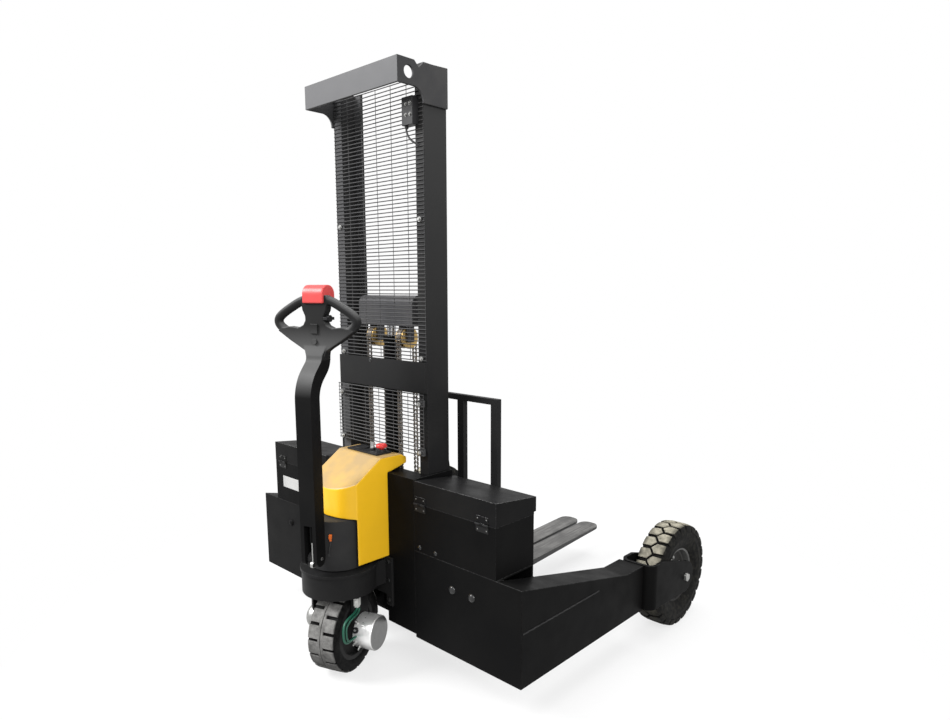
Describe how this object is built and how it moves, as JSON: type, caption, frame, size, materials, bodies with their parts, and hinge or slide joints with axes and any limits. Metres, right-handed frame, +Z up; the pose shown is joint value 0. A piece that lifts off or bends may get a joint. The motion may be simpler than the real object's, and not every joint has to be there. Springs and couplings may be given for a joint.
{
  "type": "walk-behind straddle stacker",
  "caption": "Battery electric walk-behind stacker with straddle legs on large tyres, a steered drive wheel under a tiller, and a mast that lifts two forks.",
  "frame": {"origin": "on the ground under the middle of the truck's length and width", "axes": "+Z up, +Y forward from the tiller to the fork tips, +X to the driver's right"},
  "size_m": [1.512, 1.6224, 1.988],
  "materials": {
    "black_paint": "satin",
    "fork_steel": "worn",
    "zinc_steel": "zinc plated",
    "gold_zinc": "yellow zinc",
    "chain_steel": "oiled",
    "bright_rod": "polished",
    "spring_tube": "gloss",
    "cover_yellow": "satin",
    "red_plastic": "satin",
    "black_plastic": "matte",
    "battery_case": "matte",
    "front_tyre": "dusty",
    "front_rim": "satin",
    "drive_tyre": "dusty",
    "cast_hub": "cast",
    "bare_aluminium": "machined",
    "pack_grey": "satin",
    "hose_rubber": "matte",
    "lead_green": "matte",
    "key_metal": "plated"
  },
  "bodies": {
    "chassis": {"chassis_frame": "black_paint", "right_leg": "black_paint", "left_leg": "black_paint", "wheel_forks": "black_paint", "front_axles": "zinc_steel", "battery_boxes": "black_paint", "batteries": "battery_case", "lid_hinges": "zinc_steel", "right_mast_channel": "black_paint", "left_mast_channel": "black_paint", "mast_crown": "black_paint", "mast_cross_plate": "black_paint", "upper_guard_mesh": "black_paint", "lower_guard_mesh": "black_paint", "frame_bolts": "zinc_steel", "limit_switch": "black_plastic", "lift_cylinder": "black_paint", "fixed_chains": "chain_steel", "steering_housing": "black_paint", "steering_bearing": "zinc_steel", "drive_cover": "cover_yellow", "control_panel": "black_plastic", "power_pack": "pack_grey", "motor_controller": "bare_aluminium", "hydraulic_hose": "hose_rubber"},
    "right_lid": {"right_lid": "black_paint"},
    "left_lid": {"left_lid": "black_paint"},
    "right_front_wheel": {"right_front_tyre": "front_tyre", "right_front_rim": "front_rim"},
    "left_front_wheel": {"left_front_tyre": "front_tyre", "left_front_rim": "front_rim"},
    "steering": {"steering_head": "black_paint", "drive_bracket": "black_paint", "drive_motor": "bare_aluminium", "drive_brake": "black_paint", "motor_lead": "lead_green"},
    "drive_wheel": {"drive_tyre": "drive_tyre", "drive_hub": "cast_hub"},
    "tiller": {"tiller_arm": "black_paint", "tiller_head": "black_plastic", "tilt_pin": "zinc_steel", "gas_spring_tube": "spring_tube"},
    "gas_spring_rod": {"gas_spring_rod": "bright_rod"},
    "belly_button": {"belly_button": "red_plastic"},
    "throttle": {"throttle": "black_plastic"},
    "lift_rocker": {"lift_rocker": "black_plastic"},
    "horn_button": {"horn_button": "black_plastic"},
    "lift_ram": {"lift_rod": "bright_rod", "crosshead": "black_paint", "lifted_chains": "chain_steel", "chain_wraps": "chain_steel"},
    "chain_pulleys": {"chain_pulleys": "gold_zinc"},
    "carriage": {"fork_carriage": "black_paint", "load_backrest": "black_paint"},
    "lower_rollers": {"lower_rollers": "zinc_steel"},
    "upper_rollers": {"upper_rollers": "zinc_steel"},
    "right_fork": {"right_fork": "fork_steel"},
    "left_fork": {"left_fork": "fork_steel"},
    "emergency_stop": {"emergency_stop": "red_plastic"},
    "key": {"key": "key_metal"}
  },
  "joints": [
    {"name": "right_lid_hinge", "type": "hinge", "parent": "chassis", "child": "right_lid", "pos_m": [0.277, -0.52285, 0.6123], "axis": [1, 0, 0], "range_deg": [0, 100]},
    {"name": "left_lid_hinge", "type": "hinge", "parent": "chassis", "child": "left_lid", "pos_m": [-0.277, -0.52285, 0.6123], "axis": [1, 0, 0], "range_deg": [0, 100]},
    {"name": "right_wheel_spin", "type": "hinge", "parent": "chassis", "child": "right_front_wheel", "pos_m": [0.676, 0.43115, 0.2], "axis": [1, 0, 0], "continuous": true},
    {"name": "left_wheel_spin", "type": "hinge", "parent": "chassis", "child": "left_front_wheel", "pos_m": [-0.676, 0.43115, 0.2], "axis": [1, 0, 0], "continuous": true},
    {"name": "steer", "type": "hinge", "parent": "chassis", "child": "steering", "pos_m": [0, -0.64485, 0.384], "axis": [0, 0, 1], "range_deg": [-96, 54]},
    {"name": "drive_spin", "type": "hinge", "parent": "steering", "child": "drive_wheel", "pos_m": [0, -0.64485, 0.147], "axis": [0.9336, 0.3584, 0], "continuous": true},
    {"name": "tiller_tilt", "type": "hinge", "parent": "steering", "child": "tiller", "pos_m": [0.04945, -0.77368, 0.446], "axis": [0.9336, 0.3584, 0], "range_deg": [0, 80], "stiffness_Nm_per_rad": 45, "springref_deg": -28.65},
    {"name": "gas_rod_slide", "type": "slide", "parent": "tiller", "child": "gas_spring_rod", "axis": [0, 0, 1], "range_m": [0, 0.02751]},
    {"name": "belly_press", "type": "slide", "parent": "tiller", "child": "belly_button", "axis": [0, 0, -1], "range_m": [0, 0.008], "stiffness_N_per_m": 600, "springref_m": -0.006},
    {"name": "throttle_turn", "type": "hinge", "parent": "tiller", "child": "throttle", "pos_m": [0.02759, -0.71674, 1.212], "axis": [0.9336, 0.3584, 0], "range_deg": [-25, 25], "stiffness_Nm_per_rad": 0.4},
    {"name": "rocker_tip", "type": "hinge", "parent": "tiller", "child": "lift_rocker", "pos_m": [0.03189, -0.72794, 1.18], "axis": [0.9336, 0.3584, 0], "range_deg": [-8, 8], "stiffness_Nm_per_rad": 0.25},
    {"name": "horn_press", "type": "slide", "parent": "tiller", "child": "horn_button", "axis": [-0.3584, 0.9336, 0], "range_m": [0, 0.002], "stiffness_N_per_m": 700, "springref_m": -0.002},
    {"name": "ram_lift", "type": "slide", "parent": "chassis", "child": "lift_ram", "axis": [0, 0, 1], "range_m": [0, 0.69], "deforming": ["fixed_chains"]},
    {"name": "carriage_lift", "type": "slide", "parent": "lift_ram", "child": "carriage", "axis": [0, 0, 1], "range_m": [0, 0.69], "deforming": ["lifted_chains"]},
    {"name": "pulley_turn", "type": "hinge", "parent": "lift_ram", "child": "chain_pulleys", "pos_m": [0.08, -0.39385, 1.137], "axis": [1, 0, 0], "range_deg": [0, 1140]},
    {"name": "lower_roller_turn", "type": "hinge", "parent": "carriage", "child": "lower_rollers", "pos_m": [0.195, -0.3936, 0.215], "axis": [1, 0, 0], "range_deg": [0, 2240]},
    {"name": "upper_roller_turn", "type": "hinge", "parent": "carriage", "child": "upper_rollers", "pos_m": [0.195, -0.3936, 0.52], "axis": [-1, 0, 0], "range_deg": [0, 2240]},
    {"name": "right_fork_slide", "type": "slide", "parent": "carriage", "child": "right_fork", "axis": [1, 0, 0], "range_m": [0, 0.28]},
    {"name": "left_fork_slide", "type": "slide", "parent": "carriage", "child": "left_fork", "axis": [-1, 0, 0], "range_m": [0, 0.28]},
    {"name": "stop_press", "type": "slide", "parent": "chassis", "child": "emergency_stop", "axis": [0, 0, -1], "range_m": [0, 0.005]},
    {"name": "key_turn", "type": "hinge", "parent": "chassis", "child": "key", "pos_m": [0.018, -0.50485, 0.757], "axis": [0, 0, -1], "range_deg": [0, 90]}
  ],
  "couplings": [
    {"joint": "gas_rod_slide", "follows": "tiller_tilt", "m_per_rad": 0.019344},
    {"joint": "carriage_lift", "follows": "ram_lift", "ratio": 1},
    {"joint": "pulley_turn", "follows": "ram_lift", "rad_per_m": 28.329},
    {"joint": "lower_roller_turn", "follows": "ram_lift", "rad_per_m": 55.944},
    {"joint": "upper_roller_turn", "follows": "ram_lift", "rad_per_m": 55.944}
  ]
}
